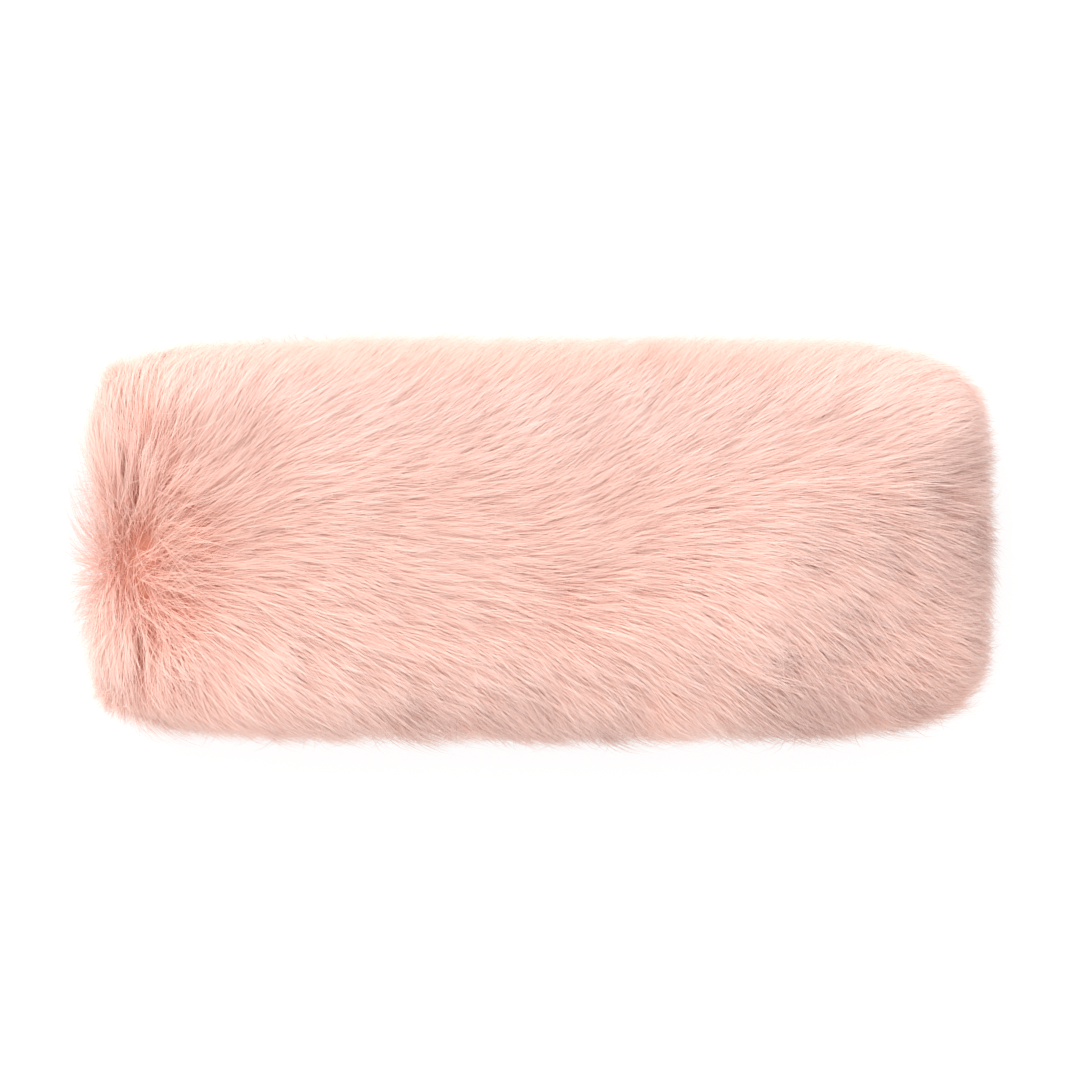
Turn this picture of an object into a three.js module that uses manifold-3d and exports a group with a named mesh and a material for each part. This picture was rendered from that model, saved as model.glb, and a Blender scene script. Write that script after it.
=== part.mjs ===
// A faux fur headwrap: one strip of long-pile faux fur, hemmed along both edges and sewn end to end into a loop,
// lying folded flat on a table. Millimetres, +Z up. +X runs along the folded band, +Y across it, and the origin
// is under the middle of the band, on the table.
//
// Three pieces: the knitted backing with its turned hems, the pressed-open join inside it, and the pile, which is
// a dense mat round the outside of the backing with the fur's locks combed over it.
import * as THREE from "three";
import { mergeVertices } from "three/addons/utils/BufferGeometryUtils.js";
import Module from "manifold-3d";

const wasm = await Module();
wasm.setup();

// ---------- driving dimensions ----------
const FOLDED_LENGTH = 234; // backing, from fold to fold
const BAND_WIDTH = 90; // backing, from edge to edge
const BACKING = 2; // thickness of the knitted backing
const HEM = 1; // what the turned hem adds to it, inside
const HEM_WIDTH = 12;
const HEAD_GAP = 15; // height of the hollow between the two layers
const SAG = 2; // how far the upper layer sinks in the middle
const REST_PILE = 9; // pile pressed between the lower layer and the table
const CLEARANCE = 0.3; // between touching pieces

const MAT_HEIGHT = 10; // dense lower part of the pile, beside its edges
const CROWN = 3; // how much higher it stands along the middle of the band
const MAT_SPREAD = 9; // how far it reaches past each edge of the backing
const CORNER_DRAW = 3; // how far the mat's edges draw in round the folds

const LOCK_PITCH = { along: 19, across: 17 }; // from lock to lock over the mat
const LOCK_LENGTH = 29;
const LOCK_WIDTH = 21; // at its widest, across the lie
const LOCK_THICKNESS = 7;
const LOCK_BODY = 2; // how much fuller than a plain cone it grows towards its tip
const ROOT_DEPTH = 1; // how far inside the mat a lock starts
const TIP_RISE = 6; // how far its tip stands off the mat
const LAST_LOCK = 110; // degrees round the mat's edge, from the top, where the last locks start
const LAST_TIP = 140; // and where their tips stop, short of the hollow
const VARIED = { place: 0.15, length: 0.12, heading: 7 }; // shares of a row's pitch and of a length, and degrees

const SEAM_ALLOWANCE = 7; // each end of the strip, pressed back at the join
const SEAM_THICKNESS = 1.2;
const SEAM_ANGLE = 135; // how far round the left fold the join sits, from underneath

const RUN_STEPS = 18; // faces along the upper layer
const FOLD_STEPS = 10; // faces round each fold
const EDGE_STEPS = 5; // faces round each edge of the mat
const LOCK_STEPS = 3;
const LOCK_SIDES = 4;

const { clamp, degToRad, euclideanModulo, lerp, seededRandom, smoothstep } = THREE.MathUtils;
const ACROSS = new THREE.Vector3(0, 1, 0);

// ---------- the loop ----------
const FOLD_RADIUS = HEAD_GAP / 2 + BACKING; // outer face of the backing
const RUN = FOLDED_LENGTH - 2 * FOLD_RADIUS; // length of each flat layer
const TURN = Math.PI * FOLD_RADIUS; // length of each fold
const LOOP = 2 * (RUN + TURN);
const SEAM_AT = 2 * RUN + TURN + degToRad(SEAM_ANGLE) * FOLD_RADIUS;
const MIDDLE_Z = REST_PILE + FOLD_RADIUS;
const HALF_WIDTH = BAND_WIDTH / 2;
const EDGE_RADIUS = (BACKING + MAT_HEIGHT) / 2; // the mat's edges are fully round

// How the fur lies, by the distance travelled along the nap. It runs over the upper layer to the right, down round
// the right fold, back underneath and up round the left fold. spine is where across the band the fur lies straight
// along it, and splay the degrees by which it turns off towards the edges.
const LIE = [
  { at: 0, spine: -8, splay: 66 },
  { at: 0.16 * RUN, spine: 2, splay: 44 },
  { at: 0.34 * RUN, spine: 10, splay: 42 },
  { at: 0.58 * RUN, spine: -12, splay: 50 },
  { at: 0.8 * RUN, spine: 8, splay: 44 },
  { at: RUN, spine: 16, splay: 40 },
  { at: RUN + TURN, spine: 0, splay: 50 },
  { at: 2 * RUN + TURN, spine: 0, splay: 50 },
  { at: SEAM_AT, spine: -6, splay: 78 },
  { at: LOOP, spine: -8, splay: 66 },
];

// The face of the backing, s millimetres along the nap and raised by offset: a point and its outward and nap
// directions, with fold 0 on the flat layers and 1 in mid-fold.
function loopAt(s, offset = 0) {
  const walked = euclideanModulo(s, LOOP);
  const side = walked < RUN + TURN ? 1 : -1; // the lower half is the upper one turned half round
  const along = side > 0 ? walked : walked - RUN - TURN;
  const angle = clamp((along - RUN) / FOLD_RADIUS, 0, Math.PI);
  const out = new THREE.Vector3(side * Math.sin(angle), 0, side * Math.cos(angle));
  const x = along < RUN ? along - RUN / 2 : RUN / 2;
  const sag = side > 0 && along < RUN ? SAG * Math.cos((Math.PI * x) / RUN) ** 2 : 0;
  const point = new THREE.Vector3(side * x, 0, MIDDLE_Z - sag).addScaledVector(out, FOLD_RADIUS + offset);
  return { point, out, nap: new THREE.Vector3(out.z, 0, -out.x), fold: Math.sin(angle) };
}

// Distances along the nap that draw the loop: none between the ends of the lower layer, which is straight.
const STATIONS = [];
for (let i = 0; i < RUN_STEPS; i += 1) STATIONS.push((RUN * i) / RUN_STEPS);
for (let i = 0; i <= FOLD_STEPS; i += 1) STATIONS.push(RUN + (TURN * i) / FOLD_STEPS);
for (let i = 0; i < FOLD_STEPS; i += 1) STATIONS.push(2 * RUN + TURN + (TURN * i) / FOLD_STEPS);

// The spine and splay at a distance along the nap.
function lieAt(s) {
  const walked = euclideanModulo(s, LOOP);
  const next = LIE.findIndex((row) => row.at > walked);
  const [from, to] = [LIE[next - 1], LIE[next]];
  const share = smoothstep(walked, from.at, to.at);
  return { spine: lerp(from.spine, to.spine, share), splay: lerp(from.splay, to.splay, share) };
}

// ---------- the mat's face ----------
// The length from the middle of the band to where its face starts to turn round the edge.
const flatHalf = (fold) => HALF_WIDTH + MAT_SPREAD - CORNER_DRAW * fold - EDGE_RADIUS;

// The mat's face s along the nap and v from the middle towards +Y, measured over the face, raised by rise: a point,
// the face's normal, and the directions in which s and v grow.
function matAt(s, v, rise = 0) {
  const { point, out, nap, fold } = loopAt(s, MAT_HEIGHT - EDGE_RADIUS);
  const side = Math.sign(v);
  const turned = Math.max(0, Math.abs(v) - flatHalf(fold)) / EDGE_RADIUS;
  const face = out.clone().multiplyScalar(Math.cos(turned)).addScaledVector(ACROSS, side * Math.sin(turned));
  const y = side * Math.min(Math.abs(v), flatHalf(fold));
  const crown = CROWN * Math.cos((Math.PI / 2) * (y / flatHalf(fold))) ** 2;
  point.addScaledVector(ACROSS, y).addScaledVector(out, crown).addScaledVector(face, EDGE_RADIUS + rise);
  return { point, face, nap, over: new THREE.Vector3().crossVectors(face, nap), fold };
}

// How far the mat's face goes for one millimetre along the backing.
const stretchAt = (s, v = 0) => matAt(s + 1, v).point.distanceTo(matAt(s, v).point);

// ---------- helpers ----------
function solidOf(geometry) {
  for (const name of ["normal", "uv"]) geometry.deleteAttribute(name);
  const merged = mergeVertices(geometry, 1e-3);
  const { position } = merged.attributes;
  const mesh = { numProp: 3, vertProperties: position.array, triVerts: new Uint32Array(merged.index.array) };
  return new wasm.Manifold(new wasm.Mesh(mesh));
}

function geometryOf(solid) {
  const { vertProperties, triVerts } = solid.getMesh();
  const geometry = new THREE.BufferGeometry();
  geometry.setAttribute("position", new THREE.BufferAttribute(vertProperties, 3));
  geometry.setIndex(new THREE.BufferAttribute(triVerts, 1));
  geometry.computeVertexNormals();
  return geometry;
}

// Moves each vertex of a three.js geometry to place(vertex, uv).
function reshaped(geometry, place) {
  const { position, uv } = geometry.attributes;
  const vertex = new THREE.Vector3();
  const share = new THREE.Vector2();
  for (let i = 0; i < position.count; i += 1) {
    vertex.fromBufferAttribute(position, i);
    share.fromBufferAttribute(uv, i);
    position.setXYZ(i, ...place(vertex, share));
  }
  return geometry;
}

// Points of the loop raised by offset, in the band's side view.
function loopPoints(offset, stations = STATIONS) {
  return stations.map((s) => {
    const { point } = loopAt(s, offset);
    return new THREE.Vector2(point.x, point.z);
  });
}

// A side-view outline made width wide across the band, centred on y.
function acrossBand(shape, width, y = 0) {
  const geometry = new THREE.ExtrudeGeometry(shape, { depth: width, bevelEnabled: false });
  geometry.rotateX(Math.PI / 2);
  geometry.translate(0, y + width / 2, 0);
  return solidOf(geometry);
}

// ---------- pieces ----------
// The backing is a wall of even thickness, doubled along both edges by its hems.
function backingSolid() {
  const wall = (thickness, width, y) => {
    const shape = new THREE.Shape(loopPoints(0));
    shape.holes.push(new THREE.Path(loopPoints(-thickness).reverse()));
    return acrossBand(shape, width, y);
  };
  const hemAt = HALF_WIDTH - HEM_WIDTH / 2;
  return wall(BACKING, BAND_WIDTH)
    .add(wall(BACKING + HEM, HEM_WIDTH, hemAt))
    .add(wall(BACKING + HEM, HEM_WIDTH, -hemAt));
}

// The two ends of the strip, pressed back against the inside of the backing between its hems.
function seamSolid() {
  const steps = [-1, -0.5, 0, 0.5, 1].map((share) => SEAM_AT + share * SEAM_ALLOWANCE);
  const seated = -BACKING - CLEARANCE;
  const outline = [...loopPoints(seated, steps), ...loopPoints(seated - SEAM_THICKNESS, steps).reverse()];
  return acrossBand(new THREE.Shape(outline), BAND_WIDTH - 2 * (HEM_WIDTH + CLEARANCE));
}

// The mat is a ring round the loop. Its cross-section is a crowned bar with fully round edges, drawn from inside
// one edge over the crown to inside the other, and closed straight across inside.
function matSolid() {
  const section = []; // a point on the crown, as a share of its half width, and the degrees round the edge
  for (let i = EDGE_STEPS; i > 0; i -= 1) section.push({ crown: 1, turned: (180 * i) / EDGE_STEPS });
  for (const crown of [1, 0.5, 0]) section.push({ crown, turned: 0 });
  section.push(...section.slice(0, -1).reverse().map(({ crown, turned }) => ({ crown: -crown, turned: -turned })));
  const ring = new THREE.TorusGeometry(2, 1, section.length, STATIONS.length);
  return solidOf(reshaped(ring, (vertex, share) => {
    const station = STATIONS[Math.round((1 - share.x) * STATIONS.length) % STATIONS.length];
    const { crown, turned } = section[Math.round(share.y * section.length) % section.length];
    return matAt(station, crown * flatHalf(loopAt(station).fold) + degToRad(turned) * EDGE_RADIUS).point;
  }));
}

// A lock is a cone flattened on the mat and bent along the lie of the fur, which it follows from its root.
function lockSolid(s, v, length, turned) {
  const step = length / LOCK_STEPS;
  const stations = [];
  let [along, across] = [s, v];
  for (let i = 0; i <= LOCK_STEPS; i += 1) {
    const rise = lerp(-ROOT_DEPTH, TIP_RISE, Math.sin((Math.PI * i) / LOCK_STEPS / 2));
    const { point, face, nap, over, fold } = matAt(along, across, rise);
    const { spine, splay } = lieAt(along);
    const splayed = degToRad(splay * clamp((across - spine) / flatHalf(0), -1, 1) + turned);
    const heading = nap.multiplyScalar(Math.cos(splayed)).addScaledVector(over, Math.sin(splayed));
    stations.push({ point, face, wide: heading.cross(face) });
    along += (step * Math.cos(splayed)) / stretchAt(along, across);
    const limit = flatHalf(fold) + degToRad(LAST_TIP) * EDGE_RADIUS;
    across = clamp(across + step * Math.sin(splayed), -limit, limit);
  }
  const cone = new THREE.ConeGeometry(1, 1, LOCK_SIDES, LOCK_STEPS);
  return solidOf(reshaped(cone, (vertex) => {
    const share = vertex.y + 0.5;
    const { point, face, wide } = stations[Math.round(share * LOCK_STEPS)];
    const fuller = (1 + LOCK_BODY * share) / (1 + LOCK_BODY / 4);
    return point.clone()
      .addScaledVector(wide, (vertex.x * fuller * LOCK_WIDTH) / 2)
      .addScaledVector(face, (vertex.z * fuller * LOCK_THICKNESS) / 2);
  }));
}

// The outer body of what a geometry encloses, with any pocket sealed inside it filled. Welding the vertices, as
// solidOf does, frees the pockets that hang on it by a seam of no width.
function outerBody(geometry) {
  const bodies = solidOf(geometry).decompose();
  return geometryOf(bodies.reduce((kept, body) => (body.volume() > kept.volume() ? body : kept)));
}

// Locks stand in staggered rows round the loop, except where the table presses the mat flat.
function pileSolid() {
  const pieces = [matSolid()];
  let count = 0;
  const varied = (most) => (2 * seededRandom((count += 1)) - 1) * most;
  for (let s = 0, row = 0; s < LOOP - LOCK_PITCH.along / 3; row += 1) {
    const reach = flatHalf(loopAt(s).fold) + degToRad(LAST_LOCK) * EDGE_RADIUS;
    const gaps = Math.round((2 * reach) / LOCK_PITCH.across) - (row % 2);
    for (let i = 0; i <= gaps; i += 1) {
      const v = reach * ((2 * i) / gaps - 1);
      const at = s + varied(VARIED.place) * LOCK_PITCH.along;
      const length = LOCK_LENGTH * (1 + varied(VARIED.length));
      const turned = varied(VARIED.heading);
      if (matAt(at, v).point.z > ROOT_DEPTH) pieces.push(lockSolid(at, v, length, turned));
    }
    s += LOCK_PITCH.along / stretchAt(s);
  }
  const reach = 2 * FOLDED_LENGTH;
  const aboveTable = new THREE.BoxGeometry(reach, reach, reach).translate(0, 0, reach / 2);
  return wasm.Manifold.union(pieces)
    .intersect(solidOf(aboveTable))
    .subtract(acrossBand(new THREE.Shape(loopPoints(CLEARANCE)), BAND_WIDTH + 2 * CLEARANCE))
    .subtract(acrossBand(new THREE.Shape(loopPoints(-BACKING)), reach));
}

// ---------- the headwrap ----------
const headwrap = new THREE.Group();

function addPiece(name, geometry, material) {
  const mesh = new THREE.Mesh(geometry, new THREE.MeshStandardMaterial(material));
  mesh.name = name;
  headwrap.add(mesh);
}

// The locks don't reach equally far on all sides, so every piece is moved to set the middle of the pile on the
// origin.
const pile = geometryOf(pileSolid());
pile.computeBoundingBox();
const middle = pile.boundingBox.getCenter(new THREE.Vector3());
const toOrigin = [-middle.x, -middle.y, 0];
const knit = { color: 0xdcae9f, roughness: 0.9, metalness: 0 };

addPiece("backing_band", geometryOf(backingSolid()).translate(...toOrigin), knit);
addPiece("join_seam", geometryOf(seamSolid()).translate(...toOrigin), knit);
addPiece("fur_pile", outerBody(pile.translate(...toOrigin)), { color: 0xf3c4b4, roughness: 0.75, metalness: 0 });

export default headwrap;
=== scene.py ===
# %% [markdown]
# # A faux fur headwrap, dressed with its fur
#
# The real thing is one strip of long-pile faux fur with its edges turned in, sewn end to end into a loop,
# and lying flat on a table. Three things make it: a thin knitted backing, the join inside it, and the pile,
# a great many fine acrylic fibres that lean much the same way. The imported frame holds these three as
# solids. The backing and the join have their real shape there, so they only get a better finish. The pile
# is a solid block of locks in the frame, and this script stands real strands in its place.

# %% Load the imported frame
import math

import bpy
import numpy as np
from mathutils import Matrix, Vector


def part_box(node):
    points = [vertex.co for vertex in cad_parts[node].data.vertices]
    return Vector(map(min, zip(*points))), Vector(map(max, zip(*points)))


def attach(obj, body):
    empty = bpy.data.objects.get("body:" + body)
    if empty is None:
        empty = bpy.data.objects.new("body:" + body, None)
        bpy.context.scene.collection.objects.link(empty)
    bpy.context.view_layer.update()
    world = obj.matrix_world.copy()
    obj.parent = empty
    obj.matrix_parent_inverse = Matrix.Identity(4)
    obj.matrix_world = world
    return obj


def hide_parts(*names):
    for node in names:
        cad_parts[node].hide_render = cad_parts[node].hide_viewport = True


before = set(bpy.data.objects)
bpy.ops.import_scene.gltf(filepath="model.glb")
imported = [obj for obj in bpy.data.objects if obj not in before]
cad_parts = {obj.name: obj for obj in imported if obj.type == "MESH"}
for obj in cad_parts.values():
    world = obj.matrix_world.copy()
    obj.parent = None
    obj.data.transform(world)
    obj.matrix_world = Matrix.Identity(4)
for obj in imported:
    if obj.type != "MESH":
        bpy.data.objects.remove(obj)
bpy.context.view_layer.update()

# %% [markdown]
# The headwrap lies on a pale table and is looked at from straight above. A long lens far away keeps the
# sides of the fur from seeming to lean outwards. The view is a little wider than the band is long.

# %% Camera
VIEW_WIDTH = 0.3135  # what the picture shows across, at the height of the fur's widest part
VIEW_HEIGHT = 1.5
WIDEST_AT = 0.022
VIEW_CENTRE = (0.0009, 0.0003)
SENSOR = 36.0

camera = bpy.data.objects.new("camera", bpy.data.cameras.new("camera"))
camera.location = (*VIEW_CENTRE, VIEW_HEIGHT)
camera.data.sensor_width = SENSOR
camera.data.lens = SENSOR * (VIEW_HEIGHT - WIDEST_AT) / VIEW_WIDTH
bpy.context.scene.collection.objects.link(camera)
bpy.context.scene.camera = camera
print(f"camera lens: {camera.data.lens:.0f} mm")

# %% [markdown]
# Shader maths reads best as arithmetic. `Value` wraps a node's output, so that `grain * 0.6 + 0.2` adds the
# Math nodes it needs, and `Finish` is a material whose other nodes all come from one method, which sets a
# node's settings first and then its sockets.


# %% A small language for materials
class Value:
    """A node's output, which can be added, subtracted and multiplied."""

    def __init__(self, finish, socket):
        self.finish, self.socket = finish, socket

    def math(self, operation, first, second):
        return self.finish.node("ShaderNodeMath", {"operation": operation}, {0: first, 1: second})[0]

    def __add__(self, other):
        return self.math("ADD", self, other)

    def __sub__(self, other):
        return self.math("SUBTRACT", self, other)

    def __mul__(self, other):
        return self.math("MULTIPLY", self, other)

    __radd__ = __add__


class Finish:
    """A material made of nodes."""

    def __init__(self, name):
        self.material = bpy.data.materials.new(name)
        self.material.use_nodes = True
        self.tree = self.material.node_tree
        self.tree.nodes.clear()

    def node(self, kind, settings=None, sockets=None):
        """A node's outputs, in order. stops is a colour ramp's list of (position, colour)."""
        made = self.tree.nodes.new(kind)
        for key, value in (settings or {}).items():
            if key == "stops":
                ramp = made.color_ramp
                while len(ramp.elements) < len(value):
                    ramp.elements.new(0.5)
                for element, (position, colour) in zip(ramp.elements, value):
                    element.position, element.color = position, (*colour, 1.0)
            else:
                setattr(made, key, value)
        for key, value in (sockets or {}).items():
            if isinstance(value, Value):
                self.tree.links.new(value.socket, made.inputs[key])
            else:
                made.inputs[key].default_value = value
        return [Value(self, socket) for socket in made.outputs]

    def mix(self, factor, first, second, blend="MIX"):
        """Two colours mixed by factor."""
        settings = {"data_type": "RGBA", "blend_type": blend}
        first, second = (x if isinstance(x, Value) else (*x, 1.0) for x in (first, second))
        return self.node("ShaderNodeMix", settings, {0: factor, 6: first, 7: second})[2]

    def show(self, shader):
        self.node("ShaderNodeOutputMaterial", {}, {"Surface": shader})
        return self.material


print("materials are written as expressions")

# %% [markdown]
# A plain pale floor and two soft lights make a bright, almost shadowless studio. The strong one stands past
# the band's upper edge, to the left, so the fur is brightest there and a little darker towards the lower
# edge. The pale surroundings fill the shade between the strands.

# %% Floor, lights and surroundings
FLOOR_SIZE = 12.0
FLOOR_GLOW = 0.86  # a lit table top, so that no grey shadow surrounds the fur
LIGHTS = [
    {"name": "window", "place": (-0.65, 0.95, 1.0), "size": 1.0, "watts": 26.0, "colour": (1, 0.985, 0.985)},
    {"name": "front_fill", "place": (0.1, -1.0, 1.2), "size": 1.4, "watts": 2.0, "colour": (0.98, 0.99, 1)},
]
SURROUNDINGS = {"colour": (1.0, 0.99, 0.985, 1.0), "strength": 1.27}

paper = Finish("paper")
bpy.ops.mesh.primitive_plane_add(size=FLOOR_SIZE)
floor = bpy.context.object
floor.name = "floor"
floor.data.materials.append(
    paper.show(
        paper.node(
            "ShaderNodeBsdfPrincipled",
            {},
            {
                "Base Color": (0.12, 0.12, 0.12, 1.0),
                "Roughness": 0.9,
                "Emission Color": (1.0, 1.0, 1.0, 1.0),
                "Emission Strength": FLOOR_GLOW,
            },
        )[0]
    )
)

for row in LIGHTS:
    light = bpy.data.objects.new(row["name"], bpy.data.lights.new(row["name"], "AREA"))
    light.data.size, light.data.energy, light.data.color = row["size"], row["watts"], row["colour"]
    light.location = row["place"]
    light.rotation_euler = (-light.location).to_track_quat("-Z", "Y").to_euler()
    bpy.context.scene.collection.objects.link(light)

world = bpy.data.worlds.new("surroundings")
world.use_nodes = True
world.node_tree.nodes["Background"].inputs["Color"].default_value = SURROUNDINGS["colour"]
world.node_tree.nodes["Background"].inputs["Strength"].default_value = SURROUNDINGS["strength"]
bpy.context.scene.world = world
bpy.context.scene.view_settings.view_transform = "Standard"
print(len(LIGHTS), "lights")

# %% [markdown]
# Everything on the band is placed by two distances: s, walked along the lie of the fur, over the upper
# layer to the right, down round the right fold, back underneath and up round the left fold, and w, across
# the band from its middle. `face_at` turns them into a point on the fur side of the backing, raised by a
# height, with the directions out of the cloth, along the lie and across it. Along both edges the cloth is
# turned in, so the face rolls over there.

# %% The band as a surface
MM = 0.001
BACKING_LOW, BACKING_HIGH = (np.array(corner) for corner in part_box("backing_band"))
CENTRE = (BACKING_LOW + BACKING_HIGH) / 2
FOLD_RADIUS = (BACKING_HIGH[2] - BACKING_LOW[2]) / 2
HALF_WIDTH = (BACKING_HIGH[1] - BACKING_LOW[1]) / 2
RUN = BACKING_HIGH[0] - BACKING_LOW[0] - 2 * FOLD_RADIUS
TURN = math.pi * FOLD_RADIUS
LOOP = 2 * (RUN + TURN)
SAG = 2 * MM  # how far the upper layer sinks in the middle
EDGE_ROLL = {"radius": 3 * MM, "turn": math.radians(100)}  # where the roots stop on the turned edge
LAST_TURN = math.radians(150)  # how far round the edge a strand may lie
FLAT_HALF = HALF_WIDTH - EDGE_ROLL["radius"]
REACH = FLAT_HALF + EDGE_ROLL["radius"] * EDGE_ROLL["turn"]


def loop_at(s):
    """The backing's outer face in the side view: x, z, outward x and z."""
    walked = np.mod(s, LOOP)
    side = np.where(walked < RUN + TURN, 1.0, -1.0)
    along = np.where(side > 0, walked, walked - RUN - TURN)
    angle = np.clip((along - RUN) / FOLD_RADIUS, 0, math.pi)
    x = np.minimum(along, RUN) - RUN / 2
    sag = np.where((side > 0) & (along < RUN), SAG * np.cos(math.pi * x / RUN) ** 2, 0)
    return CENTRE[0] + side * x, CENTRE[2] - sag, side * np.sin(angle), side * np.cos(angle)


def face_at(s, w, height):
    """The fur side of the backing: points, and the directions out of it, along the lie and across."""
    x, z, out_x, out_z = loop_at(s)
    turned = np.clip((np.abs(w) - FLAT_HALF) / EDGE_ROLL["radius"], 0, LAST_TURN)
    side, radius = np.sign(w), EDGE_ROLL["radius"]
    out = np.stack([out_x * np.cos(turned), side * np.sin(turned), out_z * np.cos(turned)], axis=-1)
    nap = np.stack([out_z, np.zeros_like(out_z), -out_x], axis=-1)
    axis = np.stack(
        [
            x + out_x * (FOLD_RADIUS - radius),
            CENTRE[1] + side * np.minimum(np.abs(w), FLAT_HALF),
            z + out_z * (FOLD_RADIUS - radius),
        ],
        axis=-1,
    )
    return axis + out * np.asarray(radius + height)[..., None], out, nap, np.cross(out, nap)


print(f"loop {LOOP / MM:.0f} mm round and {2 * HALF_WIDTH / MM:.0f} mm wide")
print(f"folds {FOLD_RADIUS / MM:.1f} mm in radius")

# %% [markdown]
# The fur isn't combed straight. Along a wandering spine it lies in line with the band, and to both sides of
# that it fans out, over most of the band by some fifty degrees. A short table gives the spine, and for the
# upper and the lower side of it the fan and how far from the spine the fan opens. Places between are read
# by a smooth curve. x is where a strand shows, which is a little ahead of its root. Over the left fold,
# where the join pulls the fur open, it turns away at once and lies along the fold, and there each lock has
# its own idea of where the spine is.

# %% How the fur lies
LEAD = 12 * MM  # how far ahead of its root a strand shows
LIE = [  # along the upper layer, in millimetres from the middle and in degrees
    {"x": -111, "spine": -6, "up": (84, 9), "low": (84, 9)},
    {"x": -98, "spine": -9, "up": (84, 36), "low": (58, 16)},
    {"x": -84, "spine": -8, "up": (70, 26), "low": (52, 14)},
    {"x": -70, "spine": 2, "up": (62, 44), "low": (40, 24)},
    {"x": -56, "spine": 9, "up": (60, 40), "low": (46, 44)},
    {"x": -42, "spine": 12, "up": (60, 30), "low": (42, 48)},
    {"x": -28, "spine": 9, "up": (60, 26), "low": (40, 46)},
    {"x": -14, "spine": 5, "up": (52, 30), "low": (38, 34)},
    {"x": 0, "spine": -10, "up": (44, 36), "low": (46, 14)},
    {"x": 14, "spine": -17, "up": (44, 24), "low": (56, 10)},
    {"x": 28, "spine": -7, "up": (50, 28), "low": (52, 20)},
    {"x": 42, "spine": -1, "up": (60, 34), "low": (50, 20)},
    {"x": 56, "spine": 9, "up": (54, 20), "low": (43, 26)},
    {"x": 70, "spine": 10, "up": (50, 24), "low": (40, 18)},
    {"x": 84, "spine": 15, "up": (43, 14), "low": (42, 24)},
    {"x": 98, "spine": 16, "up": (44, 12), "low": (45, 20)},
    {"x": 111, "spine": 19, "up": (36, 22), "low": (28, 14)},
    {"x": 124, "spine": 21, "up": (22, 20), "low": (18, 16)},
]
LIE_STOPS = [
    (row["x"] * MM - CENTRE[0] + RUN / 2 - LEAD, row["spine"] * MM, *row["up"], *row["low"])
    for row in LIE[1:]
]
LIE_STOPS += [  # round the right fold, underneath, and up round the left fold
    (RUN + TURN, 4 * MM, 40, 30, 40, 30),
    (RUN + TURN + RUN / 2, 0, 50, 30, 50, 30),
    (2 * RUN + TURN - 10 * MM, -12 * MM, 76, 12, 76, 12),
    (2 * RUN + TURN + 0.2 * TURN, -4 * MM, 84, 9, 84, 9),
    (2 * RUN + TURN + 0.8 * TURN, LIE[0]["spine"] * MM, *LIE[0]["up"], *LIE[0]["low"]),
]
LIE_STOPS = sorted((row[0] + lap * LOOP, *row[1:]) for row in LIE_STOPS for lap in (-1, 0, 1))
SWAYED = {"from": -TURN, "fully_from": -0.8 * TURN, "until": 9 * MM}


def smooth(low, high, value):
    share = np.clip((value - low) / (high - low), 0, 1)
    return share * share * (3 - 2 * share)


def lie_at(s, w):
    """How far the fur turns from the line of the band towards +Y, in radians."""
    places, *columns = np.array(LIE_STOPS).T
    walked = np.mod(s, LOOP)
    found = np.searchsorted(places, walked, side="right")
    share = smooth(places[found - 1], places[found], walked)
    spine, up, up_opens, low, low_opens = (
        each[found - 1] * (1 - share) + each[found] * share for each in columns
    )
    off = w - spine
    fan, opens = np.where(off > 0, up, low), np.where(off > 0, up_opens, low_opens) * MM
    return np.radians(fan) * np.tanh(off / opens)


def swayed_at(s):
    """How much the spine sways from lock to lock: only over the left fold."""
    off = np.mod(s + LOOP / 2, LOOP) - LOOP / 2
    return smooth(SWAYED["from"], SWAYED["fully_from"], off) * smooth(SWAYED["until"], 0, off)


upper_edge, lower_edge = ((np.array([RUN / 2]), np.array([w])) for w in (HALF_WIDTH, -HALF_WIDTH))
print(f"fan at the upper edge, mid-band: {math.degrees(lie_at(*upper_edge)[0]):.0f} degrees")

# %% [markdown]
# A strand leaves the cloth steeply and then bends over, so that the far end nearly lies on its neighbours.
# It keeps the direction that it has at its root, even where the cloth turns away under it at a fold,
# because the fibre is stiffer than it is heavy. Under the band, strands are pressed flat by the weight
# above. The first quarter of each one is lost in the undercoat, so only the rest is made.

# %% Growing strands
STRAND_LENGTH = 28 * MM
SHARES = np.array([0.25, 0.5, 0.75, 1.0])  # how far along a strand its ribbon is bent
STEPS = len(SHARES) - 1
LIFT = {"root": 54, "tip": 21}  # how steeply a strand stands, in degrees
PRESSED = {"root": 26, "tip": 0}  # the same under the band
OPENED = {"root": 48, "tip": 8, "length": 1.35}  # the same at the left fold, where strands are longer
DROOP = 5 * MM  # how far a strand's end sinks where the cloth faces sideways
TABLE_GAP = 0.3 * MM
BEND_POWER = 1.6  # above 1, a strand bends over most near its root
FREE_FACING = (-0.7, 0.2)  # how far up the cloth faces where strands begin to stand free, and where they do
OPENED_FACING = (-0.3, -0.9)  # and how far to the right where they begin to be opened, and where they are


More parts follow.
